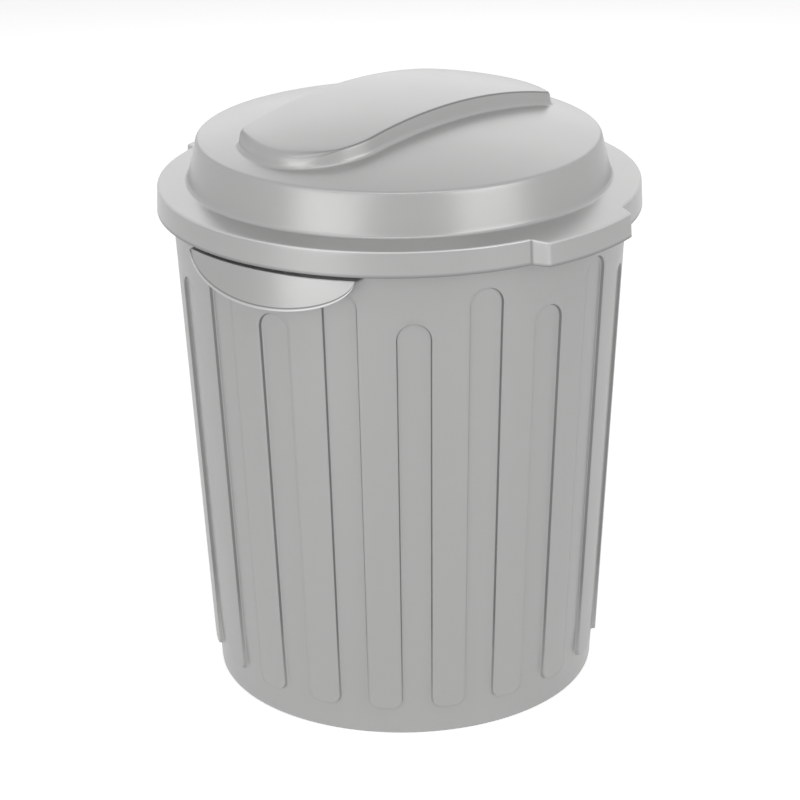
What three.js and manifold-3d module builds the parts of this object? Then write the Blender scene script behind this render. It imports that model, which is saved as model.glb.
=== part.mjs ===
// A round household dustbin with a loose lid, moulded in silver-grey plastic.
// Units are millimetres and +Z is up. The origin is the middle of the base.
// The carry handles lie on the X axis. The lid sits on the rim, turned a little.
import * as THREE from 'three';
import { ParametricGeometry } from 'three/addons/geometries/ParametricGeometry.js';
import { mergeVertices } from 'three/addons/utils/BufferGeometryUtils.js';
import Module from 'manifold-3d';

const wasm = await Module();
wasm.setup();

// ---- driving dimensions -------------------------------------------------

// bin wall and base
const baseRadius = 191.2; // raised level of the wall, carried down to the ground
const wallDraft = THREE.MathUtils.degToRad(3.03); // lets the moulding leave its tool, and bins nest
const binHeight = 496.9; // ground to the top of the rim
const binThickness = 2.6;
const floorThickness = 3.0;
const baseEdgeRound = 3.5;
const footWidth = 14.0; // flat ring that the bin stands on
const footHeight = 6.0; // height of the raised middle of the base
const footSlope = 5.0; // run of the slope between foot ring and middle

// flutes pressed into the wall
const fluteCount = 20;
const fluteDepth = 4.5;
const fluteHalfAngle = THREE.MathUtils.degToRad(4.2);
const shortFluteTop = 425.7;
const longFluteTop = 454.7;
const fingerBottom = 29.3; // lower end of the raised fingers between the flutes
const fingerRound = 10.5; // corners of that lower end

// rim of the bin, hidden by the skirt of the lid
const rimReach = 8.0; // from the wall to the outside of the turned-down lip
const rimThickness = 3.0;
const lipDrop = 12.0;
const rimRound = 1.6;

// carry handles, one at each end of the X axis
const handleHalfWidth = 90.0;
const handleDrop = 35.5; // ledge top to the lowest point of the flap
const handleTopGap = 3.2; // below the skirt of the lid
const handleReach = 14.5; // wall to the outside of the flap, at the ledge
const handleFlare = THREE.MathUtils.degToRad(5);
const handleThickness = 3.0;
const handleRound = 1.5; // outer corner between ledge and flap
const beadHeight = 4.5;
const beadProud = 1.6;

// lid
const lidTurn = THREE.MathUtils.degToRad(-10.8);
const lidThickness = 2.4;
const skirtClearance = 2.1; // all round the rim, so that the lid lifts off freely
const brimRise = 3.3; // from the edge of the brim to its foot at the dome
const brimRound = 3.6;
const skirtDrop = 23.7;
const skirtFlare = 1.2;
const domeFootRadius = 201.4;
const domeFootRound = 5.0;
const domeWallHeight = 39.1;
const domeWallLean = 9.4;
const creaseRound = 7.0;
const crownRise = 27.5; // from the crease to the middle of the crown

// raised grip across the crown
const gripRise = 16.2; // above the middle of the crown
const gripDomeRadius = 575.0;
const gripHalfWidth = 66.0;
const gripHalfLength = 168.0;
const gripEndRadius = 100.0;
const gripCornerRadius = 14.0; // the tighter pair of corners
const gripFootRound = 5.0; // along the wall and along the crown, at the foot of the grip
const gripFootSunk = 0.4; // its foot runs a little into the crown, so that no step is left
const gripSunk = 3.0; // depth of the solid grip below the crease of the dome
const gripLean = THREE.MathUtils.degToRad(14); // of its wall, outwards from top to foot

// lifting tabs, two opposite each other on the skirt
const tabReach = 14.0; // beyond the edge of the brim
const tabHalfAngle = THREE.MathUtils.degToRad(13.6);
const tabRootHalfAngle = THREE.MathUtils.degToRad(16.1);

// gap left between pieces that touch
const seatGap = 0.3;

// facets
const turns = 80; // facets round the bin and the lid
const cornerSteps = 3; // facets in a small rounded corner
const hiddenSteps = 1; // the same on a face that is seldom seen
const fluteSteps = 8; // facets in the round top of a flute
const fingerSteps = 3; // facets in a corner of the lower end of a finger
const gripSteps = 3; // facets in a corner of the grip, taken twice by the arc
const gripFacet = 24.0; // longest facet along the straight sides of the grip
const domeSteps = 5; // rings of facets over the crown and the grip
const hiddenDomeSteps = 3; // the same on their undersides
const handleSteps = 12; // facets along the lower edge of a handle, taken twice by the arc
const tabSteps = 6; // facets along the edge of a tab's own outline

// ---- sizes that follow from them ----------------------------------------

const pitch = (2 * Math.PI) / fluteCount;
const wallRadius = (z) => baseRadius + z * Math.tan(wallDraft);
const rimRadius = wallRadius(binHeight) + rimReach;
const brimRadius = rimRadius + skirtClearance + lidThickness;
const brimSlope = brimRise / (brimRadius - domeFootRadius);
// the underside of the brim rests on the outer edge of the rim
const brimEdgeHeight = binHeight + seatGap + lidThickness - brimSlope * (brimRadius - rimRadius);
const skirtBottom = brimEdgeHeight - skirtDrop;
const domeFootHeight = brimEdgeHeight + brimRise;
const creaseRadius = domeFootRadius - domeWallLean;
const creaseHeight = domeFootHeight + domeWallHeight;
const crownHeight = creaseHeight + crownRise;
const crownDomeRadius = (creaseRadius ** 2 + crownRise ** 2) / (2 * crownRise);
const handleTop = skirtBottom - handleTopGap;

// ---- tools --------------------------------------------------------------

// A closed three.js geometry as a manifold solid. Faces without area are left out.
function toSolid(geometry) {
  const plain = geometry.index ? geometry.clone() : geometry;
  plain.deleteAttribute('normal');
  plain.deleteAttribute('uv');
  const merged = mergeVertices(plain, 1e-4);
  const corners = merged.index.array;
  const faces = [];
  for (let i = 0; i < corners.length; i += 3) {
    const [a, b, c] = [corners[i], corners[i + 1], corners[i + 2]];
    if (a !== b && b !== c && c !== a) faces.push(a, b, c);
  }
  const vertProperties = new Float32Array(merged.attributes.position.array);
  const skin = (list) => new wasm.Manifold(
    new wasm.Mesh({ numProp: 3, vertProperties, triVerts: new Uint32Array(list) }),
  );
  const solid = skin(faces);
  return solid.volume() > 0 ? solid : skin(faces.reverse());
}

// A manifold solid as a three.js geometry.
function toGeometry(solid) {
  const mesh = solid.getMesh();
  const geometry = new THREE.BufferGeometry();
  geometry.setAttribute('position', new THREE.BufferAttribute(mesh.vertProperties, 3));
  geometry.setIndex(new THREE.BufferAttribute(mesh.triVerts, 1));
  geometry.computeVertexNormals();
  return geometry;
}

// Corner points [x, y, round] as an open line whose corners are rounded by arcs.
function roundedLine(corners, steps = cornerSteps) {
  const line = [];
  corners.forEach(([x, y, round = 0], i) => {
    const corner = new THREE.Vector2(x, y);
    if (round <= 0 || i === 0 || i === corners.length - 1) {
      line.push(corner);
      return;
    }
    const back = new THREE.Vector2(...corners[i - 1].slice(0, 2)).sub(corner);
    const ahead = new THREE.Vector2(...corners[i + 1].slice(0, 2)).sub(corner);
    const room = 0.49 * Math.min(back.length(), ahead.length());
    back.normalize();
    ahead.normalize();
    const half = Math.acos(THREE.MathUtils.clamp(back.dot(ahead), -1, 1)) / 2;
    const radius = Math.min(round, room * Math.tan(half));
    const bisector = back.clone().add(ahead).normalize();
    const centre = corner.clone().addScaledVector(bisector, radius / Math.sin(half));
    const from = back.multiplyScalar(radius / Math.tan(half)).add(corner).sub(centre);
    const to = ahead.multiplyScalar(radius / Math.tan(half)).add(corner).sub(centre);
    const turn = Math.atan2(from.cross(to), from.dot(to));
    for (let k = 0; k <= steps; k += 1) {
      const point = from.clone().rotateAround(new THREE.Vector2(), (turn * k) / steps);
      line.push(point.add(centre));
    }
  });
  return line;
}

// Corner points moved sideways by a wall thickness, to the left of their direction.
function offsetCorners(corners, distance) {
  const normals = corners.slice(1).map(([x, y], i) => {
    const run = new THREE.Vector2(x - corners[i][0], y - corners[i][1]).normalize();
    return new THREE.Vector2(-run.y, run.x);
  });
  return corners.map(([x, y, round = 0], i) => {
    const before = normals[Math.max(i - 1, 0)];
    const after = normals[Math.min(i, normals.length - 1)];
    const middle = before.clone().add(after).normalize();
    const reach = distance / middle.dot(after);
    const bendsLeft = before.cross(after) > 0;
    const innerRound = round > 0 ? Math.max(round + (bendsLeft ? -distance : distance), 0.4) : 0;
    return [x + middle.x * reach, y + middle.y * reach, innerRound];
  });
}

// A closed line of [radius, height] points turned about the Z axis. The half-facet
// turn keeps the facet edges off the sides of the flutes.
function revolve(line) {
  const closed = line.map((point) => new THREE.Vector2(Math.max(point.x, 0), point.y));
  const first = closed[0];
  const last = closed[closed.length - 1];
  const onAxis = first.x < 1e-6 && last.x < 1e-6;
  if (!onAxis && first.distanceTo(last) > 1e-6) closed.push(first.clone());
  const geometry = new THREE.LatheGeometry(closed, turns, Math.PI / turns);
  geometry.rotateX(Math.PI / 2);
  return toSolid(geometry);
}

// A flat outline pushed straight out along X: shape x becomes Y and shape y becomes Z.
function pushOut(shape, from, to) {
  const geometry = new THREE.ExtrudeGeometry(shape, {
    depth: to - from,
    bevelEnabled: false,
    curveSegments: handleSteps,
  });
  geometry.rotateX(Math.PI / 2).rotateZ(Math.PI / 2).translate(from, 0, 0);
  return toSolid(geometry);
}

// A flat outline in plan pushed up from one height to another.
function pushUp(shape, from, to) {
  const geometry = new THREE.ExtrudeGeometry(shape, { depth: to - from, bevelEnabled: false });
  return toSolid(geometry.translate(0, 0, from));
}

// ---- bin ----------------------------------------------------------------

// The profile of the base and the sunken level of the wall, from the middle outwards.
function sunkenCorners() {
  const radius = baseRadius - fluteDepth;
  const footInner = radius - baseEdgeRound - footWidth;
  return [
    [0, footHeight],
    [footInner - footSlope, footHeight, footSlope / 2],
    [footInner, 0, footSlope / 2],
    [radius, 0, baseEdgeRound],
    [wallRadius(binHeight) - fluteDepth, binHeight],
  ];
}

// Points along an arc of the given centre and radius, ends included.
function arcPoints(x, y, radius, from, to, steps) {
  const points = [];
  for (let k = 0; k <= steps; k += 1) {
    const angle = from + ((to - from) * k) / steps;
    points.push(new THREE.Vector2(x + radius * Math.cos(angle), y + radius * Math.sin(angle)));
  }
  return points;
}

// Outline of one flute in its tangent plane, x across and y up. It has straight drafted
// sides and a round top, and below the fingers it widens to meet its neighbours. grow
// moves the outline outwards, for the ridge that the flute makes inside the bin.
function fluteOutline(top, grow) {
  const side = (z) => wallRadius(z) * Math.sin(fluteHalfAngle) + grow;
  const low = fingerBottom + grow;
  const round = fingerRound - grow;
  const shoulder = low + round;
  const corner = side(shoulder) + round;
  const endHeight = top + grow;
  const end = side(endHeight);
  const overlap = 1.0;
  const reach = wallRadius(low) * Math.sin(pitch / 2) + overlap;
  const below = -2 * overlap;
  const quarter = Math.PI / 2;
  return new THREE.Shape([
    new THREE.Vector2(-reach, below),
    new THREE.Vector2(reach, below),
    new THREE.Vector2(reach, low),
    ...arcPoints(corner, shoulder, round, -quarter, -2 * quarter, fingerSteps),
    ...arcPoints(0, endHeight - end, end, 0, 2 * quarter, fluteSteps),
    ...arcPoints(-corner, shoulder, round, 0, -quarter, fingerSteps),
    new THREE.Vector2(-reach, low),
  ]);
}

// All the flutes as one solid that reaches inwards to the given profile.
function fluteSolids(innerCorners, grow) {
  const far = rimRadius + 4 * fluteDepth;
  const inner = roundedLine(innerCorners, grow > 0 ? hiddenSteps : cornerSteps);
  const sleeve = revolve([
    new THREE.Vector2(far, -4 * fluteDepth),
    new THREE.Vector2(far, binHeight),
    ...inner.reverse(),
    new THREE.Vector2(0, -4 * fluteDepth),
  ]);
  const near = 0.6 * baseRadius;
  const cutters = [];
  for (let k = 0; k < fluteCount; k += 1) {
    const top = k % 2 === 0 ? shortFluteTop : longFluteTop;
    const cutter = pushOut(fluteOutline(top, grow), near, far);
    cutters.push(cutter.rotate([0, 0, THREE.MathUtils.radToDeg(k * pitch)]));
  }
  return sleeve.intersect(wasm.Manifold.union(cutters));
}

function makeBin() {
  const top = wallRadius(binHeight);
  const lipInner = rimRadius - binThickness;
  const flangeUnder = binHeight - rimThickness;
  const lipBottom = binHeight - lipDrop;
  const outside = revolve(roundedLine([
    [0, footHeight],
    ...sunkenCorners().slice(1, 3),
    [baseRadius, 0],
    [wallRadius(flangeUnder), flangeUnder, rimRound],
    [lipInner, flangeUnder, rimRound],
    [lipInner, lipBottom],
    [rimRadius, lipBottom],
    [rimRadius, binHeight, rimRound],
    [0, binHeight],
  ]));
  const innerTop = top - binThickness;
  const sunkenInside = offsetCorners(sunkenCorners(), binThickness);
  const floorTop = footHeight + floorThickness;
  const inside = revolve(roundedLine([
    [0, floorTop],
    [wallRadius(floorTop) - binThickness, floorTop],
    [innerTop, binHeight],
    [innerTop + rimRound, binHeight + rimRound],
    [0, binHeight + rimRound],
  ]));
  const flutes = fluteSolids(sunkenCorners(), 0);
  const ridges = fluteSolids(sunkenInside, binThickness);
  const solid = outside.subtract(flutes).subtract(inside.subtract(ridges));
  return toGeometry(solid);
}

// ---- carry handles ------------------------------------------------------

// Half an ellipse hanging from the ledge, seen along X, reduced all round by inset.
function handleOutline(inset) {
  const shape = new THREE.Shape();
  const halfWidth = handleHalfWidth - inset;
  shape.moveTo(-halfWidth, handleTop + 1);
  shape.lineTo(-halfWidth, handleTop);
  shape.absellipse(0, handleTop, halfWidth, handleDrop - inset, Math.PI, 2 * Math.PI, false);
  shape.lineTo(halfWidth, handleTop + 1);
  return shape;
}

// A ledge off the wall and a flared flap, revolved and then trimmed to the crescent.
function makeHandle() {
  const ledgeUnder = handleTop - handleThickness;
  const flapTop = wallRadius(handleTop) + handleReach;
  const flapAt = (z) => flapTop + (handleTop - z) * Math.tan(handleFlare);
  const low = handleTop - handleDrop - beadHeight;
  const inner = handleThickness / Math.cos(handleFlare);
  const section = roundedLine([
    [wallRadius(ledgeUnder) + seatGap, ledgeUnder],
    [flapAt(ledgeUnder) - inner, ledgeUnder, handleRound / 2],
    [flapAt(low) - inner, low],
    [flapAt(low), low],
    [flapTop, handleTop, handleRound],
    [wallRadius(handleTop) + seatGap, handleTop],
  ]);
  const beadSection = roundedLine([
    [flapAt(ledgeUnder) - inner / 2, ledgeUnder],
    [flapAt(low) - inner / 2, low],
    [flapAt(low) + beadProud, low],
    [flapAt(ledgeUnder) + beadProud, ledgeUnder],
  ]);
  const near = 0.6 * baseRadius;
  const far = flapAt(low) + handleReach;
  const trim = pushOut(handleOutline(0), near, far);
  const band = trim.subtract(pushOut(handleOutline(beadHeight), near, far));
  const solid = revolve(section).intersect(trim).add(revolve(beadSection).intersect(band));
  return toGeometry(solid);
}

// ---- lid ----------------------------------------------------------------

// Profile of the lid from the bottom of the skirt to the middle of the crown.
// reach moves the skirt and the edge of the brim outwards, for the tabs.
function lidCorners(reach, rings) {
  const edgeHeight = brimEdgeHeight - brimSlope * reach;
  const corners = [
    [brimRadius + reach + skirtFlare, skirtBottom],
    [brimRadius + reach, edgeHeight, brimRound],
    [domeFootRadius, domeFootHeight, domeFootRound],
    [creaseRadius, creaseHeight, creaseRound],
  ];
  const spread = Math.asin(creaseRadius / crownDomeRadius);
  const centreHeight = crownHeight - crownDomeRadius;
  for (let k = rings - 1; k >= 0; k -= 1) {
    const angle = (spread * k) / rings;
    corners.push([crownDomeRadius * Math.sin(angle), centreHeight + crownDomeRadius * Math.cos(angle)]);
  }
  return corners;
}

// A closed outline with its long straight runs cut into shorter facets.
function subdivided(points, longest) {
  return points.flatMap((point, i) => {
    const next = points[(i + 1) % points.length];
    const count = Math.ceil(point.distanceTo(next) / longest);
    return Array.from({ length: count }, (_, k) => point.clone().lerp(next, k / count));
  });
}

// The lid profile, or the same profile one wall thickness inside, filled down to a level.
function lidBlank(reach, inset, bottom) {
  const line = inset > 0
    ? roundedLine(offsetCorners(lidCorners(reach, hiddenDomeSteps), inset), hiddenSteps)
    : roundedLine(lidCorners(reach, domeSteps));
  const start = line[0];
  const slope = (line[1].x - start.x) / (line[1].y - start.y);
  line[0] = new THREE.Vector2(start.x + slope * (bottom - start.y), bottom);
  line[line.length - 1].x = 0;
  return revolve([...line, new THREE.Vector2(0, bottom)]);
}

// Plan outline of the grip: straight sides, one full and one tight corner at each end.
function gripOutline(grow) {
  const half = gripHalfWidth + grow;
  const fullCentre = gripHalfLength - gripHalfWidth;
  const endCentre = gripHalfLength - gripEndRadius;
  const end = gripEndRadius + grow;
  const tight = gripCornerRadius + grow;
  const tightY = gripHalfWidth - gripCornerRadius;
  const tightX = Math.sqrt((gripEndRadius - gripCornerRadius) ** 2 - tightY ** 2);
  const tightAngle = Math.atan2(tightY, tightX);
  const shape = new THREE.Shape();
  for (const sign of [1, -1]) {
    const start = sign > 0 ? 0 : Math.PI;
    shape.absarc(sign * fullCentre, 0, half, start + Math.PI / 2, start, true);
    shape.absarc(sign * endCentre, 0, end, start, start - tightAngle, true);
    const corner = sign * (endCentre + tightX);
    shape.absarc(corner, -sign * tightY, tight, start - tightAngle, start - Math.PI / 2, true);
  }
  return shape;
}

// The grip as a closed skin over its outline: v runs from the middle of the bottom, out
// and up to its flared foot, up the leaning wall and back over the dome. inset shells it.
function gripBlank(inset) {
  const outline = subdivided(gripOutline(-inset).getPoints(gripSteps), gripFacet);
  const radius = gripDomeRadius - inset;
  const domeAt = (r) => crownHeight + gripRise - gripDomeRadius + Math.sqrt(radius ** 2 - r ** 2);
  const crown = crownDomeRadius - inset;
  const crownAt = (r) => crownHeight - crownDomeRadius + Math.sqrt(crown ** 2 - r ** 2);
  const bottom = creaseHeight - gripSunk;
  const rings = inset > 0 ? hiddenDomeSteps : domeSteps;
  const rows = rings + 4;
  const skin = (u, v, target) => {
    const point = outline[Math.round(u * outline.length) % outline.length];
    const row = Math.round(v * rows);
    const edge = point.length();
    const wallFoot = crownAt(edge) + gripFootRound;
    const lean = (domeAt(edge) - wallFoot) * Math.tan(gripLean);
    const flare = edge + lean + gripFootRound;
    let radial = (edge * (rows - row)) / rings;
    let height = domeAt(Math.min(radial, edge));
    if (row <= 1) [radial, height] = [row * flare, bottom];
    if (row === 2) [radial, height] = [flare, crownAt(flare) - gripFootSunk];
    if (row === 3) [radial, height] = [edge + lean, wallFoot];
    target.set((point.x * radial) / edge, (point.y * radial) / edge, height);
  };
  return toSolid(new ParametricGeometry(skin, outline.length, rows));
}

// Plan outline of one tab on the -Y side, with ends that slant in to the skirt.
function tabOutline(inset) {
  const outer = brimRadius + tabReach + 4 * skirtFlare;
  const root = brimRadius - tabReach;
  const at = (radius, angle) => new THREE.Vector2(radius * Math.sin(angle), -radius * Math.cos(angle));
  const slant = (tabRootHalfAngle - tabHalfAngle) / tabReach;
  const narrower = inset / outer;
  const rootAngle = tabRootHalfAngle + slant * (brimRadius - root) - narrower;
  const outerAngle = tabHalfAngle - slant * (outer - brimRadius - tabReach) - narrower;
  const points = [at(root, -rootAngle)];
  for (let k = 0; k <= tabSteps; k += 1) {
    const share = (2 * k) / tabSteps - 1;
    points.push(at(outer, share * outerAngle));
  }
  points.push(at(root, rootAngle));
  return new THREE.Shape(points);
}

function makeLid() {
  const below = skirtBottom - domeWallHeight;
  const tabTrim = (inset) => {
    const one = pushUp(tabOutline(inset), below, creaseHeight);
    return one.add(one.rotate([0, 0, 180]));
  };
  const outside = lidBlank(0, 0, skirtBottom)
    .add(lidBlank(tabReach, 0, skirtBottom).intersect(tabTrim(0)))
    .add(gripBlank(0));
  const inside = lidBlank(0, lidThickness, below)
    .add(lidBlank(tabReach, lidThickness, below).intersect(tabTrim(lidThickness)))
    .add(gripBlank(lidThickness));
  return toGeometry(outside.subtract(inside));
}

// ---- assembly -----------------------------------------------------------

const plastic = { color: 0xa8a8a6, roughness: 0.42, metalness: 0.25 };

function piece(name, geometry, finish) {
  const mesh = new THREE.Mesh(geometry, new THREE.MeshStandardMaterial(finish));
  mesh.name = name;
  return mesh;
}

const dustbin = new THREE.Group();
dustbin.add(piece('bin_body', makeBin(), plastic));

const rightHandle = piece('carry_handle_right', makeHandle(), plastic);
dustbin.add(rightHandle);
const leftHandle = piece('carry_handle_left', makeHandle(), plastic);
leftHandle.rotation.z = Math.PI;
dustbin.add(leftHandle);

const lid = piece('lid', makeLid(), { ...plastic, color: 0xacacaa });
lid.rotation.z = lidTurn;
dustbin.add(lid);

export default dustbin;
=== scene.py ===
"""Looks of a round household dustbin with a loose lid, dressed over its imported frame."""

import math

import bmesh
import bpy
import numpy as np
from mathutils import Matrix


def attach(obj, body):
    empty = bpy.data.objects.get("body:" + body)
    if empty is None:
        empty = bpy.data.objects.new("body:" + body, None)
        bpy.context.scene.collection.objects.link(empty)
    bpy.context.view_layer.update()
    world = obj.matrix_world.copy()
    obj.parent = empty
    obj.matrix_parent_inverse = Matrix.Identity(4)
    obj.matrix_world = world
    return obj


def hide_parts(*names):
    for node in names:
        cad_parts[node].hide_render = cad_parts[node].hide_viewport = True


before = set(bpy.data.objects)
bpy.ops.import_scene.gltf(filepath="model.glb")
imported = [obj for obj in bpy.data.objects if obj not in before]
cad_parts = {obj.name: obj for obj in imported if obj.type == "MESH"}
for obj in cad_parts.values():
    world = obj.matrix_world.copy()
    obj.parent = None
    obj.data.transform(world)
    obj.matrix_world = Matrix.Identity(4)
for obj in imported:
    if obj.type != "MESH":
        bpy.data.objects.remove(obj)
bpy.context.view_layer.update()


# ---- The bin ------------------------------------------------------------
# One injection moulding in silver-grey polypropylene, tapered so that it leaves its tool. Twenty
# round-topped flutes in two heights are sunk into its wall, above a plain ring at the foot, and its
# rim is turned out and down to carry the lid. Sizes are in millimetres until a mesh is made.

foot_radius = 191.2
wall_draft = math.tan(math.radians(3.03))
bin_height = 496.9
bin_wall = 2.6
floor_wall = 3.0
foot_edge_round = 3.5
foot_ring = 14.0
foot_ring_round = 1.5
base_lift = 6.0
base_slope = 5.0
base_round = 2.5
floor_round = 4.0

flute_count = 20
flute_depth = 4.5
flute_half_angle = math.radians(4.2)
flute_tops = (454.7, 425.7)
flute_edge = 0.7  # half the width of the rounded step round a flute
flute_shallower = 1.7  # a flute's depth loses this over the first stretch above the foot
shallower_run = 60.0
finger_bottom = 29.3
finger_round = 10.5

rim_reach = 8.0
rim_wall = 3.0
lip_drop = 12.0
lip_round = 0.5
rim_round = 1.4

cell = math.pi / flute_count  # half a flute's share of the turn
ring_top = 12.0  # where the flutes' own grids start
plain_wall = 476.0  # and where they end, over the highest flute


def wall_at(z):
    """Radius of the raised level of the wall at height z."""
    return foot_radius + wall_draft * z


def rounded(corners, steps=4):
    """A line of (r, z) through corner points (r, z, round), each corner turned into a parabola
    that leaves its two sides one rounding length from the corner."""
    corners = [tuple(c) + (0.0,) * (3 - len(c)) for c in corners]
    line = [corners[0][:2]]
    for before, (r, z, size), after in zip(corners, corners[1:-1], corners[2:]):
        corner = np.array([r, z])
        if size <= 0:
            line.append(corner)
            continue
        sides = [np.array(end[:2]) - corner for end in (before, after)]
        lengths = [np.linalg.norm(side) for side in sides]
        start, end = (
            corner + side / length * min(size, 0.49 * length)
            for side, length in zip(sides, lengths)
        )
        t = np.linspace(0, 1, steps + 1)[:, None]
        line.extend((1 - t) ** 2 * start + 2 * t * (1 - t) * corner + t**2 * end)
    line.append(corners[-1][:2])
    return np.array(line, float)


def subdivided(line, longest):
    """The same line with every run longer than the given length cut into equal parts."""
    parts = [line[:1]]
    for a, b in zip(line[:-1], line[1:]):
        count = max(1, math.ceil(np.linalg.norm(b - a) / longest))
        parts.append(a + (b - a) * (np.arange(1, count + 1) / count)[:, None])
    return np.concatenate(parts)


def around(radius, angle, z):
    """Points at a radius, an angle from -Y towards +X, and a height."""
    radius, angle, z = np.broadcast_arrays(radius, angle, z)
    return np.stack([radius * np.sin(angle), -radius * np.cos(angle), z], -1)


def smooth(share):
    """A share from 0 to 1 that starts and stops gently: three squares less two cubes of it."""
    return share * share * (3 - 2 * share)


def turned(line, columns):
    """A line of (r, z) carried once round the axis, from half a flute before -Y."""
    angle = np.linspace(0, 2 * np.pi, columns + 1) - cell
    return around(line[:, :1], angle[None, :], line[:, 1:])


def moulding(name, patches):
    """A closed mesh in metres from grids of points in millimetres. Each grid gives a face
    between neighbouring rows and columns, and points that fall together become one. A fourth
    number in a grid, 0 where there is none, is a point's painted shading: painted shade in a
    crease, above 0, and a painted highlight on an edge, below 0."""
    points = np.concatenate([grid[..., :3].reshape(-1, 3) for grid in patches]) * 0.001
    # the painted shade and painted highlights of each point, kept on the mesh for the material
    painted_edge_shading = np.concatenate(
        [
            (grid[..., 3] if grid.shape[2] > 3 else np.zeros(grid.shape[:2])).ravel()
            for grid in patches
        ]
    )
    faces = []
    start = 0
    for grid in patches:
        rows, columns = grid.shape[:2]
        corner = start + np.arange(rows - 1)[:, None] * columns + np.arange(columns - 1)
        faces.append(np.stack([corner, corner + 1, corner + columns + 1, corner + columns], -1))
        start += rows * columns
    faces = np.concatenate([part.reshape(-1, 4) for part in faces])
    mesh = bpy.data.meshes.new(name)
    mesh.from_pydata(points.tolist(), [], faces.tolist())
    mesh.attributes.new("painted_edge_shading", "FLOAT", "POINT").data.foreach_set("value", painted_edge_shading)
    shell = bmesh.new()
    shell.from_mesh(mesh)
    bmesh.ops.remove_doubles(shell, verts=shell.verts, dist=3e-6)
    bmesh.ops.dissolve_degenerate(shell, edges=shell.edges, dist=1e-7)
    bmesh.ops.recalc_face_normals(shell, faces=shell.faces)
    shell.to_mesh(mesh)
    shell.free()
    mesh.polygons.foreach_set("use_smooth", np.ones(len(mesh.polygons), bool))
    thing = bpy.data.objects.new(name, mesh)
    bpy.context.scene.collection.objects.link(thing)
    return thing


def flute_outline(top, grow, corner_steps, side_steps, arc_steps):
    """Left half of the edge between sunken and raised wall in one cell, as (x, z) with its
    normals towards the raised side: half the squared-off lower end of a finger, the straight
    side of the flute, and a quarter of its round top."""
    half = lambda z: wall_at(z) * math.sin(flute_half_angle) + grow
    low = finger_bottom + grow
    size = finger_round - grow
    corner_top = low + size
    middle = -wall_at(low) * cell
    flat = np.linspace(middle, -half(corner_top) - size, 3)[:-1]
    t = np.linspace(np.pi / 2, 0, corner_steps - 1)
    corner = np.stack(
        [size * (np.cos(t) - 1) - half(corner_top), corner_top - size * np.sin(t)], -1
    )
    corner = np.concatenate([np.stack([flat, np.full(2, low)], -1), corner])
    round_top = half(top + grow)
    shoulder = top + grow - round_top
    side_z = np.linspace(corner_top, shoulder, side_steps + 1)[1:-1]
    side = np.stack([-half(side_z), side_z], -1)
    t = np.linspace(np.pi, np.pi / 2, arc_steps + 1)
    arc = np.stack([round_top * np.cos(t), shoulder + round_top * np.sin(t)], -1)
    line = np.concatenate([corner, side, arc])
    run = np.gradient(line, axis=0)
    normal = np.stack([-run[:, 1], run[:, 0]], -1)
    normal[0] = normal[-1] = (0, 1)
    return line, normal / np.linalg.norm(normal, axis=1, keepdims=True), shoulder


def flute_cell(middle, top, inset, steps):
    """One flute and the halves of the fingers beside it. The grid follows the flute's edge: it
    runs in from the raised side, down the rounded step, and over the sunken side. Depth is a
    smooth step of the distance from the edge. The left half is worked out, then mirrored."""
    corner_steps, side_steps, arc_steps, fill_steps = steps
    line, normal, shoulder = flute_outline(top, inset, corner_steps, side_steps, arc_steps)
    low = ring_top + inset
    corner_top = line[corner_steps, 1]
    i = np.arange(len(line))
    side = np.clip((i - corner_steps) / side_steps, 0, 1)
    arc = np.clip((i - corner_steps - side_steps) / arc_steps, 0, 1)
    outer_z = corner_top + (plain_wall - corner_top) * side
    outer = np.stack([-cell * wall_at(outer_z) * (1 - arc), outer_z], -1)
    inwards = np.clip(i / corner_steps, 0, 1)
    inner_z = low + (shoulder - low) * side
    inner = np.stack([-cell * wall_at(inner_z) * (1 - inwards), inner_z], -1)

    half_band = np.array([1.0, 0.62, 0.4, 0.2, 0.0])
    band = flute_edge * np.concatenate([half_band, -half_band[-2::-1]])
    on_band = line + normal * band[:, None, None]
    crowded = 0.8  # below 1, rows lie closer towards the step
    fill = np.linspace(0, 1, fill_steps + 1)[:-1, None, None] ** crowded
    raised = outer + (on_band[0] - outer) * fill
    sunken = (inner + (on_band[-1] - inner) * fill)[::-1]
    flat = np.concatenate([raised, on_band, sunken])
    away = np.full(fill_steps, 2 * flute_edge)
    offset = np.concatenate([away, band, -away])

    mirrored = lambda values, sign: np.concatenate([values, sign * values[..., -2::-1]], -1)
    x, z = flat[..., 0], flat[..., 1]
    shallower = flute_shallower * smooth(np.clip((z - ring_top) / shallower_run, 0, 1))
    angle = x / wall_at(z)
    angle[:, 0] = -cell
    z = mirrored(z, 1)
    sunken_share = smooth(np.clip(0.5 - 0.5 * offset / flute_edge, 0, 1))[:, None]
    depth = mirrored(flute_depth - shallower, 1) * sunken_share
    surface = around(wall_at(z) - inset - depth, middle + mirrored(angle, -1), z)
    # painted shade darkens the creases along the sides, less so round the top, and not at the foot
    dark = mirrored(np.clip((i - corner_steps) / 2, 0, 1) * (1 - 0.4 * arc), 1)
    painted_edge_shading = (np.abs(offset) < 0.9 * flute_edge)[:, None] * dark
    return np.concatenate([surface, painted_edge_shading[..., None]], axis=2)


def wall_cells(inset, steps):
    """All the flutes round one face of the wall, long and short in turn."""
    middles = np.arange(flute_count) * 2 * cell
    return [
        flute_cell(middle, flute_tops[k % 2], inset, steps)
        for k, middle in enumerate(middles)
    ]


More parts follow.
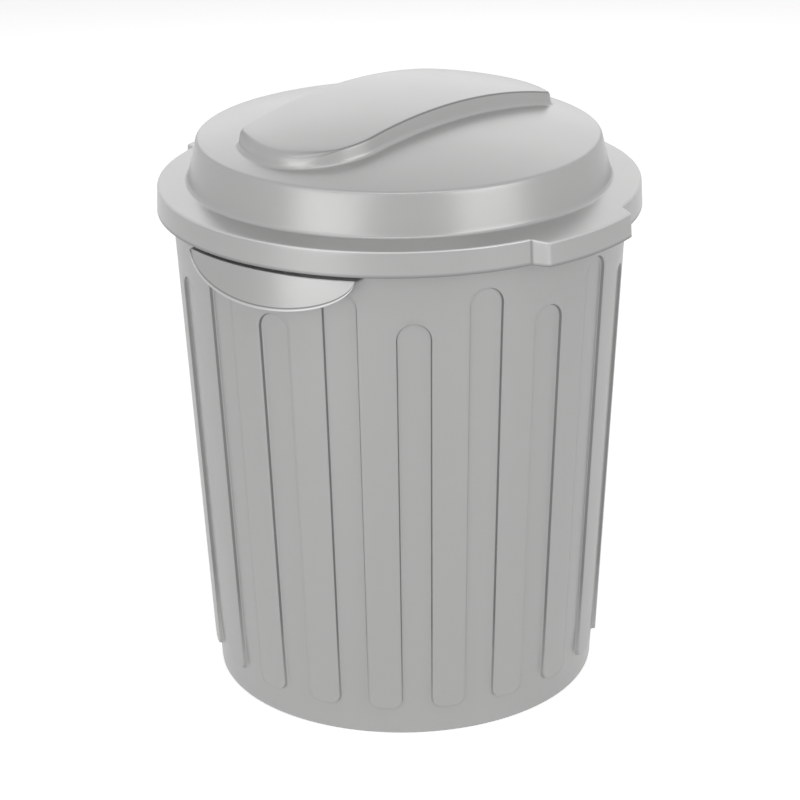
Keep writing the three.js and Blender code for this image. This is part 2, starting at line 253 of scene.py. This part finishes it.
sunken_foot = foot_radius - flute_depth
foot_inner = sunken_foot - foot_edge_round - foot_ring
base_outside = rounded(
    [
        (wall_at(ring_top) - flute_depth, ring_top),
        (sunken_foot, 0, foot_edge_round),
        (foot_inner, 0, foot_ring_round),
        (foot_inner - base_slope, base_lift, base_round),
        (0, base_lift),
    ]
)
floor_top = base_lift + floor_wall
inside_low = ring_top + bin_wall
base_inside = rounded(
    [
        (wall_at(inside_low) - flute_depth - bin_wall, inside_low),
        (wall_at(floor_top) - flute_depth - bin_wall, floor_top, floor_round),
        (0, floor_top),
    ]
)
rim_radius = wall_at(bin_height) + rim_reach
under_rim = bin_height - rim_wall
rim = rounded(
    [
        (wall_at(plain_wall), plain_wall),
        (wall_at(under_rim), under_rim, rim_round),
        (rim_radius - bin_wall, under_rim, rim_round),
        (rim_radius - bin_wall, bin_height - lip_drop, lip_round),
        (rim_radius, bin_height - lip_drop, lip_round),
        (rim_radius, bin_height, rim_round),
        (wall_at(bin_height) - bin_wall, bin_height, rim_round),
        (wall_at(plain_wall) - bin_wall, plain_wall),
    ]
)

# rows of a flute's grid in a finger's corner, along a side, round half a top, and beside the step
bin_steps = (10, 10, 12, 5)
inside_steps = (6, 6, 12, 3)
base_run = 20.0  # longest run of a turned profile between two rows, in base and rim
rim_run = 8.0
bin_moulding = moulding(
    "bin_moulding",
    [
        *wall_cells(0.0, bin_steps),
        *wall_cells(bin_wall, inside_steps),
        turned(subdivided(base_outside, base_run), 2 * bin_steps[0] * flute_count),
        turned(subdivided(base_inside, base_run), 2 * inside_steps[0] * flute_count),
        turned(subdivided(rim, rim_run), 2 * bin_steps[2] * flute_count),
    ],
)


class Wire:
    """A socket of a material's nodes that can stand in arithmetic."""

    def __init__(self, tree, socket):
        self.tree = tree
        self.socket = socket

    def maths(self, operation, first, second):
        return node(self.tree, "ShaderNodeMath", {"operation": operation}, [first, second])

    def __add__(self, other):
        return self.maths("ADD", self, other)

    def __sub__(self, other):
        return self.maths("SUBTRACT", self, other)

    def __rsub__(self, other):
        return self.maths("SUBTRACT", other, self)

    def __mul__(self, other):
        return self.maths("MULTIPLY", self, other)

    __radd__ = __add__
    __rmul__ = __mul__


def node(tree, kind, settings=None, inputs=None, output=0):
    """A node with its settings made first, then its inputs by place or name; returns an output."""
    made = tree.nodes.new(kind)
    for key, value in (settings or {}).items():
        setattr(made, key, value)
    pairs = enumerate(inputs) if isinstance(inputs, list) else (inputs or {}).items()
    for key, value in pairs:
        if isinstance(value, Wire):
            tree.links.new(value.socket, made.inputs[key])
        else:
            made.inputs[key].default_value = value
    return Wire(tree, made.outputs[output])


pigment_sparkle = 0.05
flow_streaks = 0.10
# how strongly painted shade darkens, and painted highlights lighten, the colour
painted_shading_strength = 0.45
handled_gloss = 0.08
flow_gloss = 0.06
tool_grain_depth = 0.0002  # metres


def silver_plastic(name, colour, roughness, grain, stretch):
    """Moulded polypropylene with fine metallic pigment. The pigment gives a faint sparkle, the
    flow of the melt leaves soft streaks along the wall and the tool's satin face a fine grain.
    Painted shade darkens the creases and painted highlights lighten edges, as the mesh marks them."""
    material = bpy.data.materials.new(name)
    material.use_nodes = True
    tree = material.node_tree
    shader = tree.nodes["Principled BSDF"]
    place = node(tree, "ShaderNodeTexCoord", output="Object")

    def clouds(scale, detail, stretch=(1, 1, 1)):
        moved = node(tree, "ShaderNodeMapping", None, {"Vector": place, "Scale": stretch})
        return node(
            tree,
            "ShaderNodeTexNoise",
            None,
            {"Vector": moved, "Scale": scale, "Detail": detail, "Roughness": 0.55},
        )

    flow = clouds(7.0, 3.0, stretch)
    pigment = clouds(1400.0, 1.0)
    handled = clouds(16.0, 4.0)
    face = clouds(520.0, 2.0)
    # painted shade in creases and painted highlights on edges, as the mesh gives them
    edge = node(tree, "ShaderNodeAttribute", {"attribute_name": "painted_edge_shading"}, output="Fac")
    shade = (flow - 0.5) * flow_streaks + (pigment - 0.5) * pigment_sparkle + 1.0
    tone = node(
        tree,
        "ShaderNodeVectorMath",
        {"operation": "SCALE"},
        {"Vector": colour, "Scale": shade - edge * painted_shading_strength},
        output="Vector",
    )
    rough = (handled - 0.5) * handled_gloss + (flow - 0.5) * flow_gloss + roughness
    bump = node(
        tree,
        "ShaderNodeBump",
        None,
        {"Strength": grain, "Distance": tool_grain_depth, "Height": face},
        output="Normal",
    )
    for wire, socket in ((tone, "Base Color"), (rough, "Roughness"), (bump, "Normal")):
        tree.links.new(wire.socket, shader.inputs[socket])
    shader.inputs["Metallic"].default_value = 0.4
    shader.inputs["IOR"].default_value = 1.49
    return material


bin_plastic = silver_plastic("bin_plastic", (0.475, 0.475, 0.47), 0.38, 0.08, (1, 1, 0.12))
bin_moulding.data.materials.append(bin_plastic)
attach(bin_moulding, "bin")
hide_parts("bin_body")


# ---- The two carry handles ----------------------------------------------
# A ledge stands out from the wall under the rim, and from it hangs a flap that flares a little, its
# lower edge half an ellipse stiffened by a bead. Fingers go up behind it. Both handles are moulded
# in one with the bin, on the two sides of its X axis, and their tops clear the skirt of the lid.

lid_wall = 2.4
seat_gap = 0.47
skirt_clearance = 1.9
brim_rise = 3.3
dome_foot = 201.4
skirt_drop = 23.7
brim_radius = rim_radius + skirt_clearance + lid_wall
brim_slope = brim_rise / (brim_radius - dome_foot)
brim_edge = bin_height + seat_gap + lid_wall - brim_slope * (brim_radius - rim_radius)
skirt_bottom = brim_edge - skirt_drop

handle_half = 89.8
handle_drop = 35.4
handle_gap = 3.3
handle_top = skirt_bottom - handle_gap
handle_reach = 14.4
handle_flare = math.tan(math.radians(5))
handle_wall = 3.0
handle_round = 1.5
handle_root = 0.1  # how far the ledge runs into the wall
handle_end_room = 1.2  # height that the section keeps at its two ends
under_round = 2.0
bead_height = 3.4
bead_proud = 1.4
bead_foot_round = 0.4
bead_round = 0.6
bead_edge_round = 0.8


def handle_section(low):
    """Section of the handle where the flap ends at height low: out along the top of the ledge,
    down the flap, round the bead, up inside and back to the wall under the ledge."""
    flap_at = lambda z: wall_at(handle_top) + handle_reach + (handle_top - z) * handle_flare
    room = handle_top - low
    bead = min(bead_height, 0.5 * room)
    wall = min(handle_wall, 0.45 * room)
    under = handle_top - wall
    out = flap_at(low)
    bead_top = low + bead
    crest = low + 0.6 * bead
    edge_round = min(bead_edge_round, 0.3 * bead)
    return rounded(
        [
            (wall_at(handle_top) - handle_root, handle_top),
            (flap_at(handle_top), handle_top, min(handle_round, 0.3 * room)),
            (flap_at(bead_top), bead_top, min(bead_foot_round, 0.2 * bead)),
            (flap_at(bead_top) + bead_proud, crest, min(bead_round, 0.2 * bead)),
            (out + bead_proud, low, edge_round),
            (out - wall, low, edge_round),
            (flap_at(under) - wall, under, min(under_round, 0.3 * bead)),
            (wall_at(under) - handle_root, under),
        ],
        3,
    )


def handle(name, side):
    """The section carried along Y, its flap shorter towards the ends by an ellipse, and bent
    round the wall: x follows the circle of each point's own radius."""
    t = np.linspace(-1, 1, 97)
    y = handle_half * np.sin(t * np.pi / 2)
    ellipse = np.sqrt(1 - (y / handle_half) ** 2)
    low = handle_top - handle_end_room - (handle_drop - handle_end_room) * ellipse
    sections = np.stack([handle_section(value) for value in low])
    radius = sections[..., 0]
    x = np.sqrt(radius**2 - y[:, None] ** 2)
    painted_edge_shading = np.zeros(x.shape)
    # painted shade in the crease above the bead, and a painted highlight over its crest
    painted_edge_shading[:, 6:9] = 1.0  # the section's points in the crease above the bead
    painted_edge_shading[:, 10:14] = -0.8  # and over its crest
    across = side * np.broadcast_to(y[:, None], x.shape)
    grid = np.stack([side * x, across, sections[..., 1], painted_edge_shading], -1)
    closed = np.concatenate([grid, grid[:, :1]], axis=1)
    ends = [np.stack([end, np.broadcast_to(end.mean(0), end.shape)]) for end in closed[[0, -1]]]
    return moulding(name, [closed, *ends])


handle_plastic = silver_plastic("handle_plastic", (0.475, 0.475, 0.47), 0.30, 0.03, (1, 1, 0.3))
for name, side in (("handle_right", 1), ("handle_left", -1)):
    flap = handle(name, side)
    flap.data.materials.append(handle_plastic)
    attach(flap, "bin")
    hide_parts("carry_" + name)


# ---- The lid ------------------------------------------------------------
# One moulding in the same plastic, with an even wall. A skirt drops over the rim, a brim slopes up
# to a leaning wall, and a shallow crown carries a raised grip, hollow beneath, whose dome the palm
# rests on. Two tabs on the skirt, hollow too, take the fingers that lift the lid. It lies loose.

lid_turn = math.radians(-10.8)
skirt_flare = 1.2
# height of the painted shadow line along the bottom of the skirt
skirt_shadow_band = 0.7  # the dark line along the bottom of the skirt
brim_round = 1.8
dome_foot_round = 3.2
dome_wall_height = 39.1
dome_wall_lean = 9.4
crease_round = 3.0
crown_rise = 27.5
crown_margin = 9.0  # of the crown, drawn with the turned profile
dome_foot_height = brim_edge + brim_rise
crease_radius = dome_foot - dome_wall_lean
crease_height = dome_foot_height + dome_wall_height
crown_height = crease_height + crown_rise
crown_curve = (crease_radius**2 + crown_rise**2) / (2 * crown_rise)

grip_rise = 16.0
grip_curve = 575.0
grip_half_width = 66.0
grip_half_length = 168.0
grip_end = 100.0
grip_corner = 14.0
grip_lean = math.tan(math.radians(9))
grip_edge = 1.6
grip_end_roll = 6.0  # its edge rolls over by this much more at its two ends,
grip_roll_start = 134.0  # from here on
grip_roll_run = 30.0  # and over this length
grip_foot = 3.4

tab_reach = 13.9
tab_half = 13.6  # degrees, to where a tab's full reach stops
tab_root = 16.1  # degrees, to where it leaves the skirt
tab_soft = 0.16  # of the slanted end, softened at its two turns

# a painted shade line where a tab leaves the skirt, and painted highlight lines on a tab's corners
tab_end_painted_shade, tab_end_line = 0.8, 0.25  # edge shade, and half its width in degrees
tab_corner_painted_highlight, tab_corner_line = 0.6, 0.3
# a painted highlight line over the brim's outer edge
brim_painted_highlight, brim_line = 0.8, 1.3  # the same, with its width in millimetres
# a painted shadow along the bottom of the skirt
skirt_painted_shadow = 0.9


def grip_outline():
    """Plan of the grip as (angle, radius, normal): straight long sides, and at each end a wide
    arc between one full corner, as wide as the grip, and one tight corner."""
    full = grip_half_length - grip_half_width
    end = grip_half_length - grip_end
    tight_y = grip_half_width - grip_corner
    tight_x = math.sqrt((grip_end - grip_corner) ** 2 - tight_y**2)
    swing = math.atan2(tight_y, tight_x)
    arc = lambda cx, cy, r, a, b: np.stack(
        [cx + r * np.cos(np.linspace(a, b, 160)), cy + r * np.sin(np.linspace(a, b, 160))], -1
    )
    half = np.concatenate(
        [
            arc(end + tight_x, -tight_y, grip_corner, -np.pi / 2, -swing),
            arc(end, 0, grip_end, -swing, 0),
            arc(full, 0, grip_half_width, 0, np.pi / 2),
        ]
    )
    line = subdivided(np.concatenate([half, -half, half[:1]]), 1.0)
    line = line[np.r_[True, np.linalg.norm(np.diff(line, axis=0), axis=1) > 1e-6]]
    run = np.gradient(line, axis=0)
    normal = np.stack([run[:, 1], -run[:, 0]], -1)
    normal /= np.linalg.norm(normal, axis=1, keepdims=True)
    angle = np.unwrap(np.arctan2(line[:, 0], -line[:, 1]))
    return angle, np.linalg.norm(line, axis=1), normal


def round_cap(r, height, curve):
    """Height of a shallow dome over radius r."""
    return height - curve + np.sqrt(curve**2 - r**2)


def from_tab(angle):
    """Degrees between an angle and the middle of the nearer tab."""
    return np.abs((np.degrees(angle) + 90) % 180 - 90)


def tab_share(angle, narrower):
    """How much of the tab's reach stands at an angle: 1 over the tab, a ramp at its slanted
    ends, 0 elsewhere, with the turns of the ramp softened."""
    ramp = (tab_root - narrower - from_tab(angle)) / (tab_root - tab_half)
    softened = [np.clip(ramp + shift, 0, 1) for shift in np.linspace(-tab_soft, tab_soft, 9)]
    return np.mean(softened, axis=0)


def bend(start, corner, end, steps):
    """A parabola from start to end that turns at corner, one row for each step after start."""
    t = np.linspace(0, 1, steps + 1)[1:, None, None]
    return (1 - t) ** 2 * start + 2 * t * (1 - t) * corner + t**2 * end


def lid_face(angle, inset, fine):
    """One face of the lid from the middle of the grip to the bottom of the skirt. Rows are
    curves round the lid: circles outside the grip, and the grip's outline, moved along its
    normal, over it. inset lays the inner face one wall thickness inside the outer."""
    line_angle, line_radius, line_normal = grip_outline()
    at = lambda values: np.interp(angle, line_angle, values, period=2 * np.pi)
    normal = np.stack([at(line_normal[:, 0]), at(line_normal[:, 1])], -1)
    normal /= np.linalg.norm(normal, axis=1, keepdims=True)
    plan = np.stack([np.sin(angle), -np.cos(angle)], -1) * at(line_radius)[:, None]
    plan = plan - inset * normal
    grip_top = crown_height + grip_rise - inset
    grip_z = lambda p: round_cap(np.linalg.norm(p, axis=-1), grip_top, grip_curve)
    crown_z = lambda p: round_cap(np.linalg.norm(p, axis=-1), crown_height - inset, crown_curve)
    lift = lambda p, z: np.concatenate([p, z[..., None]], -1)

    # the grip's dome, its edge, its leaning wall and the hollow of its foot
    near_end = np.clip((np.abs(plan[:, :1]) - grip_roll_start) / grip_roll_run, 0, 1)
    roll = grip_edge + grip_end_roll * smooth(near_end)
    edge = lift(plan, grip_z(plan))
    back = plan - roll * normal
    top_start = lift(back, grip_z(back))
    drop = grip_z(plan) - crown_z(plan)
    for _ in range(4):
        foot_plan = plan + normal * (drop * grip_lean)[:, None]
        drop = grip_z(plan) - crown_z(foot_plan)
    foot = lift(foot_plan, crown_z(foot_plan))
    down = (foot - edge) / np.linalg.norm(foot - edge, axis=1, keepdims=True)
    wall_start = edge + down * roll
    wall_end = foot - down * grip_foot
    out_plan = foot_plan + normal * grip_foot
    crown_start = lift(out_plan, crown_z(out_plan))
    share = np.linspace(0, 1, 4 + 2 * fine)[:-1, None, None]
    dome = lift(back * share, grip_z(back * share))
    over_edge = bend(top_start, edge, wall_start, 3 + fine // 4)
    share = np.linspace(0, 1, 2 + fine // 2)[1:-1, None, None]
    grip_wall = wall_start + (wall_end - wall_start) * share
    grip_foot_hollow = bend(wall_end, foot, crown_start, 3 + fine // 2)

    # the profile that is turned round the axis, from the crown's margin to the skirt's bottom
    margin = crease_radius - crown_margin
    profile = rounded(
        [
            (margin, round_cap(margin, crown_height, crown_curve)),
            (crease_radius, crease_height, crease_round),
            (dome_foot, dome_foot_height, dome_foot_round),
            (brim_radius, brim_edge, brim_round),
            (brim_radius + skirt_flare * (1 - skirt_shadow_band / skirt_drop), skirt_bottom + skirt_shadow_band),
            (brim_radius + skirt_flare, skirt_bottom),
        ],
        3 + fine // 2,
    )
    profile = subdivided(profile, 24 / fine)
    run = np.gradient(profile, axis=0)
    run /= np.linalg.norm(run, axis=1, keepdims=True)
    profile = profile + inset * np.stack([run[:, 1], -run[:, 0]], -1)
    profile[-1, 1] = skirt_bottom
    on_brim = np.clip((profile[:, 0] - dome_foot) / (brim_radius - inset - dome_foot), 0, 1)
    beyond = tab_reach * tab_share(angle, math.degrees(inset / brim_radius))
    radius = profile[:, :1] + on_brim[:, None] * beyond
    sink = np.clip((profile[:, 1] - skirt_bottom) / skirt_drop, 0, 1) * on_brim
    turned_part = around(radius, angle, profile[:, 1:] - brim_slope * sink[:, None] * beyond)

    share = np.linspace(0, 1, 2 + fine)[1:-1, None, None]
    crown_plan = out_plan + (turned_part[0, :, :2] - out_plan) * share
    crown = lift(crown_plan, crown_z(crown_plan))

    # painted lines on the outer face: painted shade under the grip's edge and where a tab leaves
    # the skirt, a painted shadow along the skirt's bottom, and painted highlights over the brim's
    # edge and a tab's corners
    edge_gap = np.linalg.norm(profile - (brim_radius, brim_edge), axis=1)[:, None]
    on_skirt = profile[:, :1] > brim_radius - 1
    line_at = lambda place, width: np.exp(-(((from_tab(angle) - place) / width) ** 2)) * on_skirt
    light = np.maximum(
        tab_corner_painted_highlight * line_at(tab_half, tab_corner_line), brim_painted_highlight * (edge_gap < brim_line)
    )
    turned_painted_shading = tab_end_painted_shade * line_at(tab_root, tab_end_line) - light
    turned_painted_shading[-2:] = skirt_painted_shadow
    grip_painted_shade = np.zeros(over_edge.shape[:2])
    grip_painted_shade[:-1] = 1 - near_end[:, 0]
    parts = [
        (dome, 0),
        (top_start[None], 0),
        (over_edge, grip_painted_shade),
        (grip_wall, 0),
        (wall_end[None], 0),
        (grip_foot_hollow, 0),
        (crown, 0),
        (turned_part, turned_painted_shading),
    ]
    shaded = [
        lift(rows, np.broadcast_to(shade * (inset == 0), rows.shape[:2])) for rows, shade in parts
    ]
    return np.concatenate(shaded)


# columns of the lid's grids: even all round, and close together over the slanted ends of the tabs
even = np.radians(np.arange(0, 360, 0.72))
slants = np.radians(np.arange(tab_half - 1.2, tab_root + 0.9, 0.12))
slants = np.concatenate([middle + way * slants for middle in (0, np.pi) for way in (1, -1)])
columns = np.unique(np.round(np.concatenate([even, slants % (2 * np.pi)]), 7))
columns = columns[np.r_[True, np.diff(columns) > math.radians(0.05)]]
columns = np.append(columns, columns[0] + 2 * np.pi)

lid_skin = np.concatenate([lid_face(columns, 0.0, 8), lid_face(columns, lid_wall, 4)[::-1]])
cosine, sine = math.cos(lid_turn), math.sin(lid_turn)
lid_skin[..., :2] = lid_skin[..., :2] @ np.array([[cosine, sine], [-sine, cosine]])
lid_moulding = moulding("lid_moulding", [lid_skin])
lid_plastic = silver_plastic("lid_plastic", (0.49, 0.49, 0.485), 0.30, 0.04, (1, 1, 0.5))
lid_moulding.data.materials.append(lid_plastic)
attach(lid_moulding, "lid")
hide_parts("lid")


# ---- Floor, light and camera --------------------------------------------
# A white paper floor that runs out of sight in a plain white surround. Wide soft boxes stand left
# and right in front of the bin, and the lid's leaning wall mirrors them as two soft bands. Smaller
# ones hang over it and behind it.


def seen_white(tree):
    """1 for what the camera sees, straight, mirrored or through glass, and 0 for soft light."""
    rays = ("Is Camera Ray", "Is Glossy Ray", "Is Transmission Ray")
    camera, mirror, through = (node(tree, "ShaderNodeLightPath", output=ray) for ray in rays)
    return camera.maths("MAXIMUM", camera.maths("MAXIMUM", camera, mirror), through)


floor_mesh = bpy.data.meshes.new("studio_floor")
floor_reach = 6.0
floor_mesh.from_pydata(
    [(x * floor_reach, y * floor_reach, 0) for x, y in ((-1, -1), (1, -1), (1, 1), (-1, 1))],
    [],
    [(0, 1, 2, 3)],
)
studio_floor = bpy.data.objects.new("studio_floor", floor_mesh)
bpy.context.scene.collection.objects.link(studio_floor)
paper = bpy.data.materials.new("studio_paper")
paper.use_nodes = True
floor_tree = paper.node_tree
paper_shader = floor_tree.nodes["Principled BSDF"]
paper_shader.inputs["Base Color"].default_value = (0.95, 0.95, 0.95, 1)
paper_shader.inputs["Roughness"].default_value = 0.9
paper_shader.inputs["Emission Color"].default_value = (1, 1, 1, 1)
floor_glow = seen_white(floor_tree) * 0.62
floor_tree.links.new(floor_glow.socket, paper_shader.inputs["Emission Strength"])
floor_mesh.materials.append(paper)

world = bpy.data.worlds.new("studio_surround")
bpy.context.scene.world = world
world.use_nodes = True
surround = world.node_tree
backdrop = surround.nodes["Background"]
backdrop.inputs["Color"].default_value = (1, 1, 1, 1)
strength = seen_white(surround) * 0.76 + 0.24
surround.links.new(strength.socket, backdrop.inputs["Strength"])

view_azimuth = math.radians(-57)
box_distance = 2.6
bin_middle = 0.3


def outwards(azimuth, rise):
    """The direction away from the axis at an azimuth from -Y and a rise above level."""
    level = math.cos(rise)
    return np.array([math.sin(azimuth) * level, -math.cos(azimuth) * level, math.sin(rise)])


def stood(right, up, back, place):
    """A lamp's or camera's matrix from its three axes and its place."""
    pose = Matrix.Identity(4)
    for row in range(3):
        pose[row][0], pose[row][1], pose[row][2], pose[row][3] = (
            right[row],
            up[row],
            back[row],
            place[row],
        )
    return pose


def soft_box(name, azimuth, elevation, size, power):
    """An area lamp aimed at the middle of the bin from an azimuth off the camera's own."""
    lamp = bpy.data.lights.new(name, "AREA")
    lamp.shape = "RECTANGLE"
    lamp.size, lamp.size_y = size
    lamp.energy = power
    thing = bpy.data.objects.new(name, lamp)
    back = outwards(view_azimuth + math.radians(azimuth), math.radians(elevation))
    right = np.cross((0, 0, 1), back)
    right /= np.linalg.norm(right)
    place = back * box_distance + (0, 0, bin_middle)
    thing.matrix_world = stood(right, np.cross(back, right), back, place)
    bpy.context.scene.collection.objects.link(thing)


soft_box("soft_box_low_left", -38, 4, (1.5, 0.8), 6.5)
soft_box("soft_box_left", -38, 26, (2.2, 1.2), 7)
soft_box("soft_box_right", 48, 24, (1.7, 1.4), 12)
soft_box("soft_box_over", -10, 64, (3.2, 0.5), 9)
soft_box("soft_box_over_behind", 175, 42, (2.4, 1.0), 3)
soft_box("soft_box_behind", 180, 22, (2.0, 1.4), 5)

# The camera stands where the photograph's outlines of rim, brim, crown and foot put it.
focal = 2642.44  # pixels, as the next two
picture = 800
picture_centre = 402.49
camera_rise = 0.38047  # radians, as its roll
camera_roll = -0.01417
camera_away = 2.6  # metres
aim_height = 0.268997
camera_data = bpy.data.cameras.new("photo_camera")
camera_data.sensor_width = 36
camera_data.lens = focal / picture * camera_data.sensor_width
camera_data.shift_x = (picture / 2 - picture_centre) / picture
camera_data.clip_end = 50
camera = bpy.data.objects.new("photo_camera", camera_data)
bpy.context.scene.collection.objects.link(camera)
bpy.context.scene.camera = camera
level_right = np.array([math.cos(view_azimuth), math.sin(view_azimuth), 0])
back = outwards(view_azimuth, camera_rise)
level_up = np.cross(back, level_right)
right = level_right * math.cos(camera_roll) + level_up * math.sin(camera_roll)
up = level_up * math.cos(camera_roll) - level_right * math.sin(camera_roll)
camera.matrix_world = stood(right, up, back, back * camera_away + (0, 0, aim_height))

bpy.context.scene.view_settings.view_transform = "Standard"

bpy.context.view_layer.update()
